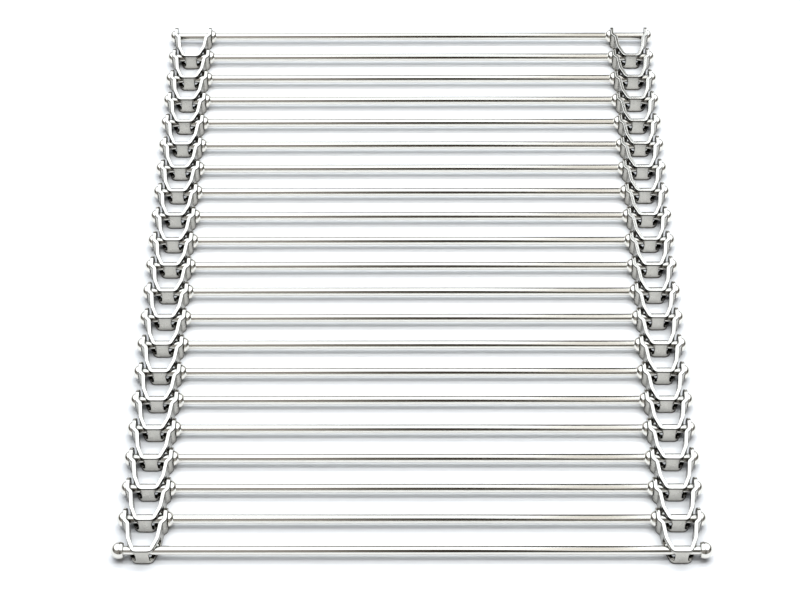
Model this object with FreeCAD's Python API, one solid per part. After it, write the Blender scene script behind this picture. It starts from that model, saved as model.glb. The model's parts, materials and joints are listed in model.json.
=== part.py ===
import FreeCAD, Part
import math
import os

from FreeCAD import Vector

# Rod link conveyor belt. Straight cross rods carry one bent strip link near each end.
# A link's wide end sits on its own rod in two pierced ears, and its narrow end takes the
# next rod in two slots. +X runs along the rods, +Y along the belt away from its leading
# end and +Z up, with the belt lying flat on Z = 0. All sizes are in millimetres.

# Belt
rowCount = 20
rodPitch = 19.05
linkOffset = 133.3  # from the belt's centre line to a link's centre line

# Fits
earRunningFit = 0.05  # radial, between a rod and the ears that sit on it
beadFit = 0.05  # radial, between a rod and the beads fixed on it
rodEndPlay = 0.1  # between an ear's side and the head or bead beside it
bridgeGap = 0.1  # between a rod and the bridge that it pulls on
slotPlay = 0.8  # above and below a rod in its slots
slotTravel = 4.4  # how far a rod can run back in its slots
slotEndGap = 0.3  # left between the rod and the slot's closed end after that
ballGap = 0.3  # between a ball and the widest part of the leg that it runs beside

# Cross rods
rodDiameter = 4.6
headDiameter = 8.0
headHeight = 3.2
beadDiameter = 8.0
beadLength = 2.6

# The leading rod passes through slots only and ends in balls
ballDiameter = 8.6
ballFlatDepth = 2.1  # from a ball's centre to the flat on its inner side

# Link strip, bent from flat bar on edge. Widths lie between the strip's mid planes, and
# reaches are measured forwards from the link's own rod.
stripHeight = 11.1
stripThickness = 2.0
earWidth = 20.5
earReach = 3.8
joggleLength = 2.2  # in which each leg steps in by the strip's thickness
taperReach = 15.0
legSlant = 0.95  # how far each leg leans in between the joggle and the taper
taperAngle = 22.2  # degrees
joggleRadius = 2.4
taperRadius = 9.0
bridgeRadius = 2.2
slotLap = 0.6  # how far the bridge runs on to each bend before its slot begins
slotCorner = 1.4  # radius of the slots' corners beside the bridge

# Rods, from the sizes above
rodRadius = rodDiameter / 2
headRadius = headDiameter / 2
beadRadius = beadDiameter / 2
ballRadius = ballDiameter / 2

# Links, from the sizes above. A rod pulls on the bends' inner faces where the slots end,
# a little behind the bridge's flat.
axisHeight = stripHeight / 2
earRadius = stripHeight / 2
shoulderWidth = earWidth - 2 * stripThickness
shoulderReach = earReach + joggleLength
taperWidth = shoulderWidth - 2 * legSlant
bendInside = bridgeRadius - stripThickness / 2
bendSag = bendInside - math.sqrt(bendInside ** 2 - slotLap ** 2)
bridgeReach = rodPitch + rodRadius + bridgeGap + bendSag + stripThickness / 2
bridgeWidth = taperWidth - 2 * (bridgeReach - taperReach) * math.tan(math.radians(taperAngle))
bendTangent = bridgeRadius * math.tan(math.radians((90 - taperAngle) / 2))
slotWaist = bridgeWidth - 2 * (bendTangent - slotLap)
slotHeight = rodDiameter + 2 * slotPlay
slotRadius = slotHeight / 2
slotReach = rodPitch - slotTravel - rodRadius - slotEndGap
frontReach = bridgeReach + stripThickness / 2

# Belt, from the sizes above
beltLength = (rowCount - 1) * rodPitch + frontReach + earRadius
firstRodY = beltLength / 2 - earRadius

acrossBelt = Vector(1, 0, 0)
alongBelt = Vector(0, 1, 0)
upwards = Vector(0, 0, 1)
origin = Vector(0, 0, 0)


def rodPlace(number):
    # Rods are numbered from the far end of the belt, so the leading rod comes last.
    return Vector(0, firstRodY - (number - 1) * rodPitch, axisHeight)


def heading(start, end):
    return (end - start).normalize()


def leftOf(direction):
    return upwards.cross(direction)


def offsetPath(points, distance):
    # Shift an open path to its left and keep its corners mitred.
    moved = [points[0] + leftOf(heading(points[0], points[1])) * distance]
    for before, corner, after in zip(points, points[1:], points[2:]):
        normal = leftOf(heading(corner, after))
        mitre = (leftOf(heading(before, corner)) + normal).normalize()
        moved.append(corner + mitre * (distance / mitre.dot(normal)))
    moved.append(points[-1] + leftOf(heading(points[-2], points[-1])) * distance)
    return moved


def offsetRadii(points, radii, distance):
    # A bend keeps its centre when the path is shifted, so its radius grows or shrinks.
    changed = [0]
    for before, corner, after, radius in zip(points, points[1:], points[2:], radii):
        turn = heading(before, corner).cross(heading(corner, after)).z
        changed.append(radius - distance * math.copysign(1, turn))
    changed.append(0)
    return changed


def roundedFace(corners, radii):
    # A flat face inside a closed outline whose corners are rounded by tangent arcs.
    edges = []
    entries = []
    exits = []
    for index, (corner, radius) in enumerate(zip(corners, radii)):
        back = heading(corner, corners[index - 1])
        ahead = heading(corner, corners[(index + 1) % len(corners)])
        halfAngle = back.getAngle(ahead) / 2
        tangentLength = radius / math.tan(halfAngle)
        entries.append(corner + back * tangentLength)
        exits.append(corner + ahead * tangentLength)
        if radius:
            inward = (back + ahead).normalize()
            middle = corner + inward * (radius / math.sin(halfAngle) - radius)
            edges.append(Part.Arc(entries[-1], middle, exits[-1]).toShape())
    for start, end in zip(exits, entries[1:] + entries[:1]):
        edges.append(Part.makeLine(start, end))
    return Part.Face(Part.Wire(Part.sortEdges(edges)[0]))


def bentStrip():
    # The strip's path from one ear round the bridge to the other ear, thickened both ways.
    halfPath = [
        Vector(earWidth / 2, earRadius),
        Vector(earWidth / 2, -earReach),
        Vector(shoulderWidth / 2, -shoulderReach),
        Vector(taperWidth / 2, -taperReach),
        Vector(bridgeWidth / 2, -bridgeReach),
    ]
    halfRadii = [joggleRadius, joggleRadius, taperRadius, bridgeRadius]
    path = halfPath + [Vector(-point.x, point.y) for point in reversed(halfPath)]
    radii = halfRadii + halfRadii[::-1]
    half = stripThickness / 2
    corners = offsetPath(path, half) + offsetPath(path, -half)[::-1]
    cornerRadii = offsetRadii(path, radii, half) + offsetRadii(path, radii, -half)[::-1]
    return roundedFace(corners, cornerRadii).extrude(upwards * stripHeight)


def sideEnvelope():
    # Side view of a link: square at the bridge and a half circle round the rod at the ears.
    topFront = Vector(-earWidth, -frontReach, stripHeight)
    bottomFront = Vector(-earWidth, -frontReach, 0)
    bottomRear = Vector(-earWidth, 0, 0)
    earTip = Vector(-earWidth, earRadius, axisHeight)
    topRear = Vector(-earWidth, 0, stripHeight)
    edges = [
        Part.makeLine(topRear, topFront),
        Part.makeLine(topFront, bottomFront),
        Part.makeLine(bottomFront, bottomRear),
        Part.Arc(bottomRear, earTip, topRear).toShape(),
    ]
    return Part.Face(Part.Wire(edges)).extrude(acrossBelt * 2 * earWidth)


def rightSlot():
    # One slot, with rounded corners on the front of the bridge and a round end on the leg
    # behind the rod.
    length = frontReach + slotRadius
    bottom = axisHeight - slotRadius
    top = axisHeight + slotRadius
    rearEndY = -slotReach - slotRadius
    frontCorners = [
        Vector(slotWaist / 2, -length, bottom),
        Vector(earWidth, -length, bottom),
        Vector(earWidth, -length, top),
        Vector(slotWaist / 2, -length, top),
    ]
    front = roundedFace(frontCorners, [slotCorner, 0, 0, slotCorner]).extrude(alongBelt * length)
    side = Part.makeBox(earWidth, length + rearEndY, slotHeight, Vector(0, -length, bottom))
    sideEnd = Part.makeCylinder(slotRadius, earWidth, Vector(0, rearEndY, axisHeight), acrossBelt)
    return front.common(side.fuse(sideEnd))


def makeLink():
    # A link with its own rod's axis over the origin.
    holeRadius = rodRadius + earRunningFit
    earHoles = Part.makeCylinder(holeRadius, 2 * earWidth, Vector(-earWidth, 0, axisHeight), acrossBelt)
    slot = rightSlot()
    link = bentStrip().common(sideEnvelope())
    return link.cut([earHoles, slot, slot.mirror(origin, acrossBelt)]).removeSplitter()


def domeEdge(start, end):
    # Profile of a dome between two points, with its centre on the rod's axis.
    centre = (end.dot(end) - start.dot(start)) / (2 * (end.x - start.x))
    radius = math.hypot(start.x - centre, start.y)
    startAngle = math.atan2(start.y, start.x - centre)
    endAngle = math.atan2(end.y, end.x - centre)
    middle = (startAngle + endAngle) / 2
    crown = Vector(centre + radius * math.cos(middle), radius * math.sin(middle))
    return Part.Arc(start, crown, end).toShape()


def turned(stations):
    # Spin a closed profile about the rod's axis. Each station is a distance from the middle,
    # a radius, and whether a dome leads up to it.
    edges = []
    for station, following in zip(stations, stations[1:] + stations[:1]):
        start = Vector(station[0], station[1])
        end = Vector(following[0], following[1])
        edges.append(domeEdge(start, end) if following[2] else Part.makeLine(start, end))
    return Part.Face(Part.Wire(edges)).revolve(origin, acrossBelt, 360)


def fittedRod(halfLength, fittings):
    # A plain bar with the same fittings at both ends, each a solid of its own.
    bar = Part.makeCylinder(rodRadius, 2 * halfLength, acrossBelt * -halfLength, acrossBelt)
    turnedRound = [fitting.rotated(origin, upwards, 180) for fitting in fittings]
    return Part.makeCompound([bar] + fittings + turnedRound)


def makeCrossRod():
    # A rod with a domed head outside each outer ear and a domed bead inside each inner ear.
    earSide = earWidth / 2 + stripThickness / 2 + rodEndPlay
    beadFace = linkOffset - earSide
    beadBore = rodRadius + beadFit
    headFace = linkOffset + earSide
    bead = turned([
        (beadFace, beadBore, False),
        (beadFace - beadLength, beadBore, False),
        (beadFace, beadRadius, True),
    ])
    head = turned([
        (headFace, 0, False),
        (headFace, headRadius, False),
        (headFace + headHeight, 0, True),
    ])
    return fittedRod(headFace, [bead, head])


def makeLeadRod():
    # The leading rod, with a ball cut flat on its inner side at each end.
    ballFace = linkOffset + shoulderWidth / 2 + stripThickness / 2 + ballGap
    ball = turned([
        (ballFace, 0, False),
        (ballFace, math.sqrt(ballRadius ** 2 - ballFlatDepth ** 2), False),
        (ballFace + ballFlatDepth + ballRadius, 0, True),
    ])
    return fittedRod(ballFace, [ball])


def export(shape, place, name):
    shape.translated(place).exportStep("parts/" + name + ".step")


os.makedirs("parts", exist_ok=True)

crossRod = makeCrossRod()
link = makeLink()
rightLink = link.translated(acrossBelt * linkOffset)
leftLink = link.translated(acrossBelt * -linkOffset)

for number in range(1, rowCount + 1):
    rodCentre = rodPlace(number)
    rowPlace = Vector(0, rodCentre.y, 0)
    export(crossRod, rodCentre, f"rod_{number:02d}")
    if number == 1:
        # The far end's two links make one group of separate solids.
        export(Part.makeCompound([leftLink, rightLink]), rowPlace, "links_01")
    else:
        export(leftLink, rowPlace, f"left_link_{number:02d}")
        export(rightLink, rowPlace, f"right_link_{number:02d}")

export(makeLeadRod(), rodPlace(rowCount + 1), f"rod_{rowCount + 1:02d}")
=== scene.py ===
import json
import math

import bmesh
import bpy
from mathutils import Matrix, Vector


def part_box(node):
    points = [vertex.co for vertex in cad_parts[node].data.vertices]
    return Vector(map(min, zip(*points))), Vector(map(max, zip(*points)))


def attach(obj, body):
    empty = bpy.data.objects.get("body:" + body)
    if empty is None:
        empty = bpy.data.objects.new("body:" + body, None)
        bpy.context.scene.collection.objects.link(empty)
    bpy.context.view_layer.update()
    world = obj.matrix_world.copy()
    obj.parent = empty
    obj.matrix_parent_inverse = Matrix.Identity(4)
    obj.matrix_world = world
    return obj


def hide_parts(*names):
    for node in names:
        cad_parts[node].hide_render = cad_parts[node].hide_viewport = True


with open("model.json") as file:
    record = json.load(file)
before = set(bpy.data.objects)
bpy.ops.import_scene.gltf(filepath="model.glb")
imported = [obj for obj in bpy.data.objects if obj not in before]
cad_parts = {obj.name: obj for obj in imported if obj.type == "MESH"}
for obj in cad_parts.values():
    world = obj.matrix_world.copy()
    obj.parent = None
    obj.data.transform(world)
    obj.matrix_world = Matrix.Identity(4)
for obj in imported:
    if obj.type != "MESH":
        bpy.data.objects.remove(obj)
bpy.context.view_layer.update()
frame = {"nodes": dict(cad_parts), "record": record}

scene = bpy.context.scene
rowCount = 20
leadNumber = rowCount + 1  # the leading rod, which carries no links
sampleRow = 2  # the row that the rods' length and the links' shape are taken from
bodies = frame["record"]["behaviour"]["bodies"]
bodyOfNode = {node: body for body, nodes in bodies.items() for node in nodes}


# Places, from the frame
def rodCentre(number):
    low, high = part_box(f"rod_{number:02d}")
    return (low + high) / 2


rodZ = rodCentre(sampleRow).z  # half the links' height
linkX = sum(corner.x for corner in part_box(f"right_link_{sampleRow:02d}")) / 2  # from the belt's middle


# Material helpers, which add nodes to a material's tree or the world's
def newMaterial(name, metallic):
    material = bpy.data.materials.new(name)
    material.use_nodes = True
    shader = material.node_tree.nodes["Principled BSDF"]
    shader.inputs["Metallic"].default_value = metallic
    return material, shader


def feed(tree, socket, value):
    # a fixed number, a fixed colour or another node's output
    if isinstance(value, float):
        socket.default_value = value
    elif isinstance(value, tuple):
        socket.default_value = (*value, 1)
    else:
        tree.links.new(value, socket)


def noiseOn(tree, cells, detail):
    # noise on the piece's own coordinates, with so many cells to the metre along each axis
    place = tree.nodes.new("ShaderNodeTexCoord")
    mapping = tree.nodes.new("ShaderNodeMapping")
    mapping.inputs["Scale"].default_value = cells
    noise = tree.nodes.new("ShaderNodeTexNoise")
    noise.inputs["Scale"].default_value = 1
    noise.inputs["Detail"].default_value = detail
    tree.links.new(place.outputs["Object"], mapping.inputs["Vector"])
    tree.links.new(mapping.outputs["Vector"], noise.inputs["Vector"])
    return noise.outputs["Fac"]


def ramped(tree, source, span, values=(0, 1), shape="SMOOTHSTEP"):
    # the first value at the span's start, the second at its end
    ramp = tree.nodes.new("ShaderNodeMapRange")
    ramp.interpolation_type = shape
    ramp.inputs["From Min"].default_value, ramp.inputs["From Max"].default_value = span
    ramp.inputs["To Min"].default_value, ramp.inputs["To Max"].default_value = values
    tree.links.new(source, ramp.inputs["Value"])
    return ramp.outputs["Result"]


def blended(tree, factor, first, second, kind="Color"):
    # two colours or two numbers, by a factor
    mix = tree.nodes.new("ShaderNodeMix")
    mix.data_type = "RGBA" if kind == "Color" else "FLOAT"
    sockets = {socket.identifier: socket for socket in (*mix.inputs, *mix.outputs)}
    feed(tree, sockets["Factor_Float"], factor)
    feed(tree, sockets[f"A_{kind}"], first)
    feed(tree, sockets[f"B_{kind}"], second)
    return sockets[f"Result_{kind}"]


def calculated(tree, operation, *values):
    result = tree.nodes.new("ShaderNodeMath")
    result.operation = operation
    for socket, value in zip(result.inputs, values):
        feed(tree, socket, value)
    return result.outputs["Value"]


def partOf(tree, vector, axis):
    split = tree.nodes.new("ShaderNodeSeparateXYZ")
    tree.links.new(vector, split.inputs["Vector"])
    return split.outputs[axis]


def absolutePart(tree, vector, axis):
    return calculated(tree, "ABSOLUTE", partOf(tree, vector, axis))


def bumpFrom(tree, height, shader, finish):
    bump = tree.nodes.new("ShaderNodeBump")
    bump.inputs["Strength"].default_value = finish["bumpStrength"]
    bump.inputs["Distance"].default_value = finish["bumpDepth"]
    tree.links.new(height, bump.inputs["Height"])
    tree.links.new(bump.outputs["Normal"], shader.inputs["Normal"])


# painted shade: the near-black tone laid into the base colour in slots and gaps
paintedShade = dict(colour=(0.045, 0.041, 0.036), samples=8)


def paintShadeInGaps(tree, steel, shader, finish):
    # painted shade: the base colour goes nearly black where other steel is close by, standing in for the
    # shade in slots and gaps
    gap = tree.nodes.new("ShaderNodeAmbientOcclusion")
    gap.samples = paintedShade["samples"]
    gap.inputs["Distance"].default_value = finish["gapReach"]
    clear = ramped(tree, gap.outputs["AO"], finish["gapOpen"])
    tree.links.new(blended(tree, clear, paintedShade["colour"], steel), shader.inputs["Base Color"])


# Bright drawn bar: fine lines along the rod and a faint uneven polish
rodFinish = dict(
    light=(0.81, 0.79, 0.742), dark=(0.708, 0.69, 0.642),
    lines=(6, 700, 700), lineDetail=3, lineRange=(0.35, 0.75), barRough=(0.05, 0.12),
    patches=(20, 160, 160), patchDetail=4, patchRange=(0.3, 0.7), formedRough=(0.05, 0.1),
    formedFrom=(0.1185, 0.1195),  # from the middle of the rod to where the beads begin
    gapReach=0.0035, gapOpen=(0.2, 0.6),
    bumpStrength=0.08, bumpDepth=0.00005)


def makeRodSteel():
    material, shader = newMaterial("drawnRodSteel", metallic=1)
    tree = material.node_tree
    lines = noiseOn(tree, rodFinish["lines"], rodFinish["lineDetail"])
    patches = noiseOn(tree, rodFinish["patches"], rodFinish["patchDetail"])
    steel = blended(tree, patches, rodFinish["dark"], rodFinish["light"])
    # painted shade: the bar goes nearly black where links are close round it
    paintShadeInGaps(tree, steel, shader, rodFinish)
    # the bar is polished in lines, the formed beads, heads and balls in patches
    place = tree.nodes.new("ShaderNodeTexCoord").outputs["Object"]
    formed = ramped(tree, absolutePart(tree, place, "X"), rodFinish["formedFrom"])
    barRough = ramped(tree, lines, rodFinish["lineRange"], rodFinish["barRough"], "LINEAR")
    formedRough = ramped(tree, patches, rodFinish["patchRange"], rodFinish["formedRough"], "LINEAR")
    tree.links.new(blended(tree, formed, barRough, formedRough, "Float"), shader.inputs["Roughness"])
    bumpFrom(tree, lines, shader, rodFinish)
    return material


# Pressed strip: edges rubbed bright, bridges dull and mottled; painted shade on the legs and beside the
# edges
linkFinish = dict(
    worn=((0.69, 0.674, 0.627), (0.8, 0.782, 0.731)),
    bridge=((0.466, 0.451, 0.414), (0.594, 0.577, 0.532)),
    # painted shade for faces that look to the side
    leg=((0.313, 0.303, 0.278), (0.414, 0.403, 0.374)),
    # painted shade for the faces inside the U
    inside=((0.17, 0.16, 0.147), (0.25, 0.236, 0.217)),
    # painted shade along the strip's edges and their rounded corners
    edgeShade=(0.07, 0.064, 0.056),
    wornFrom=(0.62, 0.8), edgeShadeFrom=(0.08, 0.3),  # how far a face looks up or down
    legFrom=(0.45, 0.9),  # how far it looks to the side
    insideFrom=(-0.001, -0.004),  # distance from the link's middle, below 0 on faces that look towards it
    rimFrom=(0.0042, 0.0051),  # height above or below the strip's middle
    mottle=(420, 420, 420), mottleDetail=5, mottleRange=(0.3, 0.7), flankRough=(0.2, 0.3), wornRough=0.08,
    gapReach=0.0045, gapOpen=(0.35, 0.8),
    pits=(2600, 2600, 2600), pitDetail=2, bumpStrength=0.06, bumpDepth=0.00004)


def makeLinkSteel():
    material, shader = newMaterial("tumbledLinkSteel", metallic=1)
    tree = material.node_tree
    mottle = noiseOn(tree, linkFinish["mottle"], linkFinish["mottleDetail"])
    pits = noiseOn(tree, linkFinish["pits"], linkFinish["pitDetail"])
    tones = {name: blended(tree, mottle, *linkFinish[name]) for name in ("worn", "bridge", "leg", "inside")}
    surface = tree.nodes.new("ShaderNodeTexCoord")
    place = surface.outputs["Object"]
    normal = surface.outputs["Normal"]
    # painted shade: faces that look to the side get a darker tone than the bridges
    legs = ramped(tree, absolutePart(tree, normal, "X"), linkFinish["legFrom"])
    flank = blended(tree, legs, tones["bridge"], tones["leg"])
    # painted shade: the legs' faces on the inside of the U get a darker tone, as they lie in shade
    placeX = partOf(tree, place, "X")
    middle = calculated(tree, "MULTIPLY", calculated(tree, "SIGN", placeX), linkX)
    across = calculated(tree, "SUBTRACT", placeX, middle)
    outwards = calculated(tree, "MULTIPLY", across, partOf(tree, normal, "X"))
    flank = blended(tree, ramped(tree, outwards, linkFinish["insideFrom"]), flank, tones["inside"])
    # painted shade: a near-black line on the flanks just beside an edge and on the rounded corner between
    # them
    height = calculated(tree, "SUBTRACT", partOf(tree, place, "Z"), rodZ)
    rim = ramped(tree, calculated(tree, "ABSOLUTE", height), linkFinish["rimFrom"])
    upright = absolutePart(tree, normal, "Z")
    edgeShaded = calculated(tree, "MAXIMUM", rim, ramped(tree, upright, linkFinish["edgeShadeFrom"]))
    shadedFlank = blended(tree, edgeShaded, flank, linkFinish["edgeShade"])
    # the strip's edges, which face up and down
    worn = ramped(tree, upright, linkFinish["wornFrom"])
    # painted shade: the whole finish goes nearly black in slots and between parts
    paintShadeInGaps(tree, blended(tree, worn, shadedFlank, tones["worn"]), shader, linkFinish)
    flankRough = ramped(tree, mottle, linkFinish["mottleRange"], linkFinish["flankRough"], "LINEAR")
    roughness = blended(tree, worn, flankRough, linkFinish["wornRough"], "Float")
    tree.links.new(roughness, shader.inputs["Roughness"])
    bumpFrom(tree, pits, shader, linkFinish)
    return material


rodSteel = makeRodSteel()
linkSteel = makeLinkSteel()
print("finishes", rodSteel.name, linkSteel.name)


# Pieces
def addPiece(name, mesh, place, material):
    mesh.transform(Matrix.Translation(place))
    mesh.materials.append(material)
    piece = bpy.data.objects.new(name, mesh)
    scene.collection.objects.link(piece)
    return piece


def standFor(piece, node):
    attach(piece, bodyOfNode[node])
    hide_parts(node)


def sharpEdges(bm, angle):
    limit = math.radians(angle)
    return [edge for edge in bm.edges if edge.is_manifold and edge.calc_face_angle() > limit]


def roundEdges(bm, edges, width, steps, clamp):
    bmesh.ops.bevel(bm, geom=edges, offset=width, offset_type="OFFSET", affect="EDGES", segments=steps,
                    profile=0.5, material=-1, clamp_overlap=clamp)


def finishMesh(bm, name):
    # smooth shading weighted by area, so large faces stay true and narrow rounds take up the turn
    mesh = bpy.data.meshes.new(name)
    bm.to_mesh(mesh)
    bm.free()
    mesh.shade_smooth()
    normals = [Vector() for vertex in mesh.vertices]
    for face in mesh.polygons:
        for index in face.vertices:
            normals[index] += face.normal * face.area
    mesh.normals_split_custom_set_from_vertices([normal.normalized() for normal in normals])
    return mesh


# Cross rods: a bead inside and a head outside the ears of each link
rodShape = dict(
    radius=0.0023, headRadius=0.004, headHeight=0.0032, beadRadius=0.004, beadLength=0.0026,
    earSpan=0.0227,  # from a bead's face to the head's
    segments=48, domeSteps=8, mergeWithin=1e-6, sharpAngle=40, edgeRound=0.0002, edgeSteps=2)


def runTo(bm, vertex, x, radius):
    # draw the profile on in a straight line
    following = bm.verts.new((x, radius, 0))
    bm.edges.new((vertex, following))
    return following


def arcOn(bm, vertex, centreX, angle, steps):
    # sweep the profile's last vertex round a point on the axis and return where it ends
    swept = bmesh.ops.spin(bm, geom=[vertex], cent=(centreX, 0, 0), axis=(0, 0, 1), angle=angle,
                           steps=steps)
    return [item for item in swept["geom_last"] if isinstance(item, bmesh.types.BMVert)][0]


def domeAngles(faceX, faceRadius, endX, endRadius):
    # a dome's centre on the axis, and its angles at the face and at the end
    centreX = (endX ** 2 + endRadius ** 2 - faceX ** 2 - faceRadius ** 2) / (2 * (endX - faceX))
    return centreX, math.atan2(faceRadius, faceX - centreX), math.atan2(endRadius, endX - centreX)


def startBar(bm, reach):
    # the profile's first line, along the bar from its middle
    return runTo(bm, bm.verts.new((0, rodShape["radius"], 0)), reach, rodShape["radius"])


def turnProfile(bm):
    # lathe half a rod about X, mirror it, close the seam and soften its rims
    within = rodShape["mergeWithin"]
    bmesh.ops.spin(bm, geom=bm.verts[:] + bm.edges[:], cent=(0, 0, 0), axis=(1, 0, 0), angle=math.tau,
                   steps=rodShape["segments"], use_merge=True)
    bmesh.ops.remove_doubles(bm, verts=bm.verts[:], dist=within)
    bmesh.ops.mirror(bm, geom=bm.verts[:] + bm.edges[:] + bm.faces[:], axis="X", merge_dist=within)
    bmesh.ops.recalc_face_normals(bm, faces=bm.faces[:])
    rims = sharpEdges(bm, rodShape["sharpAngle"])
    roundEdges(bm, rims, rodShape["edgeRound"], rodShape["edgeSteps"], clamp=True)


def halfLength(number):
    low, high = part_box(f"rod_{number:02d}")
    return (high.x - low.x) / 2


def makeCrossRodMesh():
    end = halfLength(sampleRow)
    headFace = end - rodShape["headHeight"]
    beadFace = headFace - rodShape["earSpan"]
    beadEnd = beadFace - rodShape["beadLength"]
    bm = bmesh.new()
    vertex = startBar(bm, beadEnd)
    centreX, faceAngle, endAngle = domeAngles(beadFace, rodShape["beadRadius"], beadEnd, rodShape["radius"])
    vertex = arcOn(bm, vertex, centreX, faceAngle - endAngle, rodShape["domeSteps"])
    vertex = runTo(bm, vertex, beadFace, rodShape["radius"])
    vertex = runTo(bm, vertex, headFace, rodShape["radius"])
    vertex = runTo(bm, vertex, headFace, rodShape["headRadius"])
    centreX, faceAngle, endAngle = domeAngles(headFace, rodShape["headRadius"], end, 0)
    arcOn(bm, vertex, centreX, endAngle - faceAngle, rodShape["domeSteps"])
    turnProfile(bm)
    return finishMesh(bm, "crossRod")


# Leading rod: the same bar, with a ball at each end that is cut flat on its inner side
leadShape = dict(ballRadius=0.0043, ballLength=0.0064, domeSteps=16)


def makeLeadRodMesh():
    end = halfLength(leadNumber)
    flat = end - leadShape["ballLength"]
    centreX = end - leadShape["ballRadius"]
    flatRadius = math.sqrt(leadShape["ballRadius"] ** 2 - (flat - centreX) ** 2)
    bm = bmesh.new()
    vertex = runTo(bm, startBar(bm, flat), flat, flatRadius)
    arcOn(bm, vertex, centreX, -math.atan2(flatRadius, flat - centreX), leadShape["domeSteps"])
    turnProfile(bm)
    return finishMesh(bm, "leadRod")


crossRodMesh = makeCrossRodMesh()
for number in range(1, leadNumber):
    rod = addPiece(f"crossRod{number:02d}", crossRodMesh.copy(), rodCentre(number), rodSteel)
    standFor(rod, f"rod_{number:02d}")
leadRod = addPiece("leadRod", makeLeadRodMesh(), rodCentre(leadNumber), rodSteel)
standFor(leadRod, f"rod_{leadNumber:02d}")
print("rods", leadNumber)

# Links: edges tumbled round, more on the strip's own edges than round its slots and holes
linkShape = dict(
    mergeWithin=2e-6, flatAngle=0.5, sharpAngle=50, outlineWithin=2e-5,
    outerRound=0.0004, outerSteps=4, slotRound=0.00025, slotSteps=2)


def onOutline(point):
    # true on the strip's upper and lower edges and round the ears
    reach = abs(point.z) if point.y < 0 else math.hypot(point.y, point.z)
    return abs(reach - rodZ) < linkShape["outlineWithin"]


def makeLinkMesh(node, anchor):
    # a merged copy of the solid link, drawn round its own rod
    bm = bmesh.new()
    bm.from_mesh(frame["nodes"][node].data)
    bmesh.ops.remove_doubles(bm, verts=bm.verts[:], dist=linkShape["mergeWithin"])
    bmesh.ops.translate(bm, vec=-anchor, verts=bm.verts[:])
    flatAngle = math.radians(linkShape["flatAngle"])
    bmesh.ops.dissolve_limit(bm, angle_limit=flatAngle, verts=bm.verts[:], edges=bm.edges[:])
    sharp = sharpEdges(bm, linkShape["sharpAngle"])
    outline = [edge for edge in sharp if all(onOutline(vertex.co) for vertex in edge.verts)]
    slotEdges = [edge for edge in sharp if edge not in outline]
    roundEdges(bm, slotEdges, linkShape["slotRound"], linkShape["slotSteps"], clamp=False)
    outline = [edge for edge in outline if edge.is_valid]
    roundEdges(bm, outline, linkShape["outerRound"], linkShape["outerSteps"], clamp=False)
    return finishMesh(bm, "link")


sampleAnchor = rodCentre(sampleRow) + Vector((linkX, 0, 0))
linkMesh = makeLinkMesh(f"right_link_{sampleRow:02d}", sampleAnchor)
for number in range(1, rowCount + 1):
    for side, label in ((-1, "left"), (1, "right")):
        place = rodCentre(number) + Vector((side * linkX, 0, 0))
        link = addPiece(f"{label}Link{number:02d}", linkMesh.copy(), place, linkSteel)
        standFor(link, "links_01" if number == 1 else f"{label}_link_{number:02d}")
print("links", 2 * rowCount, "faces each", len(linkMesh.polygons))

# Stage
floorLook = dict(size=6.0, colour=(0.9, 0.92, 0.945), rough=0.6, specular=0.2)


def makeFloor():
    bm = bmesh.new()
    bmesh.ops.create_grid(bm, x_segments=1, y_segments=1, size=floorLook["size"] / 2)
    floor = bpy.data.objects.new("floor", finishMesh(bm, "floor"))
    scene.collection.objects.link(floor)
    material, shader = newMaterial("paleFloor", metallic=0)
    shader.inputs["Base Color"].default_value = (*floorLook["colour"], 1)
    shader.inputs["Roughness"].default_value = floorLook["rough"]
    shader.inputs["Specular IOR Level"].default_value = floorLook["specular"]
    floor.data.materials.append(material)


makeFloor()

# Studio surround: a large bright screen overhead, tipped to the far side, in a dark room. The metal
# mirrors a brighter, wider screen than the one that lights the floor. Tones are given by place along X.
paleCorner = (0.36, 0.35, 0.335)
dimEnd = (0.12, 0.113, 0.105)
greyWall = (0.14, 0.135, 0.125)
darkWall = (0.085, 0.078, 0.07)
surround = dict(
    axis=(0, 0.309, 0.951), edge=(0.765, 0.81),
    fill=(1.66, 1.76, 1.86), roomFill=(0.16, 0.15, 0.145),
    mirrored=(1.86, 1.95, 2.04),
    greyPatch=(0.92, 0.885, 0.82), patchTo=(0.58, 0.42),  # the patch fades out along Y
    patchTones=((-0.02, 0.0), (0.035, 0.0), (0.075, 0.9), (0.1, 1.0), (0.113, 0.0)),
    # how much wider the screen gets to both sides, and how much it is shifted to the near side
    sideTones=((0.0, 0.0), (0.02, 0.0), (0.09, 0.1), (0.65, 0.3)),
    nearTones=((0.0, 0.0), (0.03, 0.0), (0.052, 0.15), (0.085, 0.5), (0.1, 0.5), (0.113, 0.0)),
    farFrom=(0.1, 0.5),  # where the room's far side begins, along Y
    farTones=((-0.5, paleCorner), (-0.3, darkWall), (0.3, darkWall), (0.5, paleCorner)),
    roomTones=((-0.92, dimEnd), (-0.8, paleCorner), (-0.5, paleCorner), (-0.2, (0.24, 0.23, 0.22)),
               (-0.09, (0.44, 0.42, 0.4)), (-0.05, (0.38, 0.36, 0.34)), (-0.017, (0.16, 0.148, 0.135)),
               (0.017, (0.05, 0.042, 0.035)), (0.052, darkWall), (0.088, greyWall), (0.3, greyWall),
               (0.5, paleCorner), (0.8, paleCorner), (0.92, dimEnd)),
    backdrop=(0.8, 0.8, 0.8))  # what the camera sees past the floor


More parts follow.
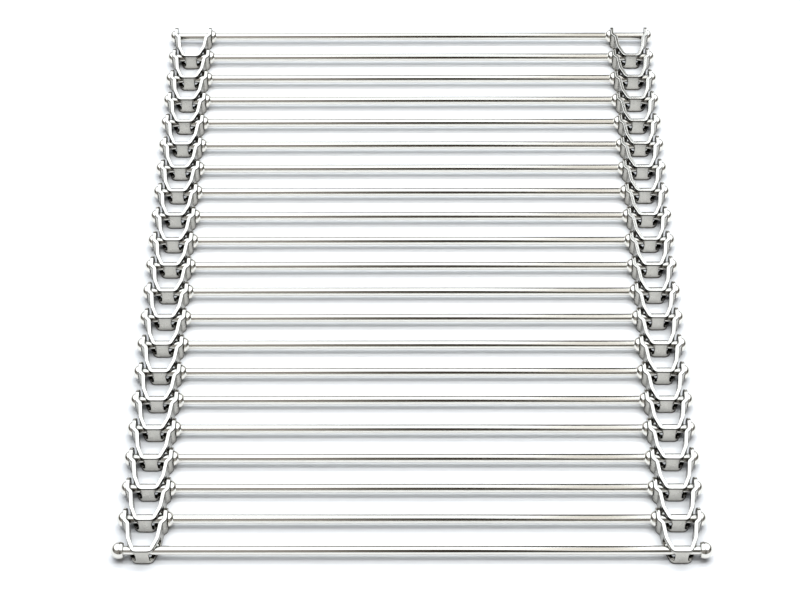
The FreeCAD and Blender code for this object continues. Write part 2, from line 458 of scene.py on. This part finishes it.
def toneRamp(tree, source, tones):
    # tones along a value that runs from -1 to 1
    ramp = tree.nodes.new("ShaderNodeValToRGB")
    elements = ramp.color_ramp.elements
    while len(elements) < len(tones):
        elements.new(0.5)  # each gets its own place below
    for element, (place, tone) in zip(elements, tones):
        element.position = (place + 1) / 2
        element.color = (*tone, 1) if isinstance(tone, tuple) else (tone, tone, tone, 1)
    tree.links.new(ramped(tree, source, (-1, 1), shape="LINEAR"), ramp.inputs["Fac"])
    return ramp.outputs["Color"]


def glow(tree, colour):
    background = tree.nodes.new("ShaderNodeBackground")
    feed(tree, background.inputs["Color"], colour)
    return background.outputs["Background"]


def chosen(tree, factor, first, second):
    choose = tree.nodes.new("ShaderNodeMixShader")
    for socket, source in zip(choose.inputs, (factor, first, second)):
        tree.links.new(source, socket)
    return choose.outputs["Shader"]


def makeSurround():
    world = bpy.data.worlds.new("studio")
    scene.world = world
    world.use_nodes = True
    tree = world.node_tree
    tree.nodes.clear()
    place = tree.nodes.new("ShaderNodeTexCoord").outputs["Generated"]
    across = partOf(tree, place, "X")
    along = partOf(tree, place, "Y")
    facing = tree.nodes.new("ShaderNodeVectorMath")
    facing.operation = "DOT_PRODUCT"
    facing.inputs[1].default_value = surround["axis"]
    tree.links.new(place, facing.inputs[0])
    overhead = facing.outputs["Value"]
    # what the metal mirrors: the screen with its grey patch, and the room round it
    wider = toneRamp(tree, absolutePart(tree, place, "X"), surround["sideTones"])
    nearer = calculated(tree, "MULTIPLY", along, toneRamp(tree, across, surround["nearTones"]))
    shifted = calculated(tree, "SUBTRACT", calculated(tree, "ADD", overhead, wider), nearer)
    nearPart = ramped(tree, along, surround["patchTo"])
    patch = calculated(tree, "MULTIPLY", nearPart, toneRamp(tree, across, surround["patchTones"]))
    screen = blended(tree, patch, surround["mirrored"], surround["greyPatch"])
    room = blended(tree, ramped(tree, along, surround["farFrom"]),
                   toneRamp(tree, across, surround["roomTones"]),
                   toneRamp(tree, across, surround["farTones"]))
    mirrored = blended(tree, ramped(tree, shifted, surround["edge"]), room, screen)
    # what lights the rest
    fill = blended(tree, ramped(tree, overhead, surround["edge"]), surround["roomFill"], surround["fill"])
    path = tree.nodes.new("ShaderNodeLightPath")
    lit = chosen(tree, path.outputs["Is Glossy Ray"], glow(tree, fill), glow(tree, mirrored))
    seen = chosen(tree, path.outputs["Is Camera Ray"], lit, glow(tree, surround["backdrop"]))
    tree.links.new(seen, tree.nodes.new("ShaderNodeOutputWorld").inputs["Surface"])


makeSurround()

# Two strip softboxes above, along the rods, which draw the narrow shadows under them
keyLights = dict(
    size=(1.2, 0.14), power=6.0, colour=(1.0, 0.985, 0.96),
    height=1.15, places=((0.12, -0.18), (0.12, 0.28)))


def makeKeys():
    for number, (x, y) in enumerate(keyLights["places"], 1):
        key = bpy.data.lights.new(f"overheadKey{number}", "AREA")
        key.shape = "RECTANGLE"
        key.size, key.size_y = keyLights["size"]
        key.energy = keyLights["power"]
        key.color = keyLights["colour"]
        keyObject = bpy.data.objects.new(f"overheadKey{number}", key)
        keyObject.location = (x, y, keyLights["height"])
        keyObject.visible_glossy = False
        scene.collection.objects.link(keyObject)


makeKeys()

# Camera, fitted to the photograph. Angles are in degrees, and the aim is measured from the leading rod.
view = dict(
    elevation=48.578, heading=-0.396, roll=-0.35, distance=1.16316, aim=(-0.00621, 0.1653, 0.0),
    focal=2127.65, imageWidth=800,  # both in the photograph's pixels
    sensor=36.0)  # millimetres


def makeCamera():
    elevation, heading, roll = (math.radians(view[key]) for key in ("elevation", "heading", "roll"))
    forward = Vector((math.sin(heading) * math.cos(elevation), math.cos(heading) * math.cos(elevation),
                      -math.sin(elevation)))
    right = Vector((math.cos(heading), -math.sin(heading), 0))
    up = right.cross(forward)
    rolledRight = right * math.cos(roll) + up * math.sin(roll)
    rolledUp = up * math.cos(roll) - right * math.sin(roll)
    turned = Matrix((rolledRight, rolledUp, -forward)).transposed()
    aim = rodCentre(leadNumber) + Vector(view["aim"])
    camera = bpy.data.cameras.new("photoView")
    camera.sensor_width = view["sensor"]
    camera.lens = view["focal"] * view["sensor"] / view["imageWidth"]
    cameraObject = bpy.data.objects.new("photoView", camera)
    cameraObject.matrix_world = Matrix.Translation(aim - forward * view["distance"]) @ turned.to_4x4()
    scene.collection.objects.link(cameraObject)
    scene.camera = cameraObject


makeCamera()
scene.view_settings.view_transform = "Standard"
print("stage set")
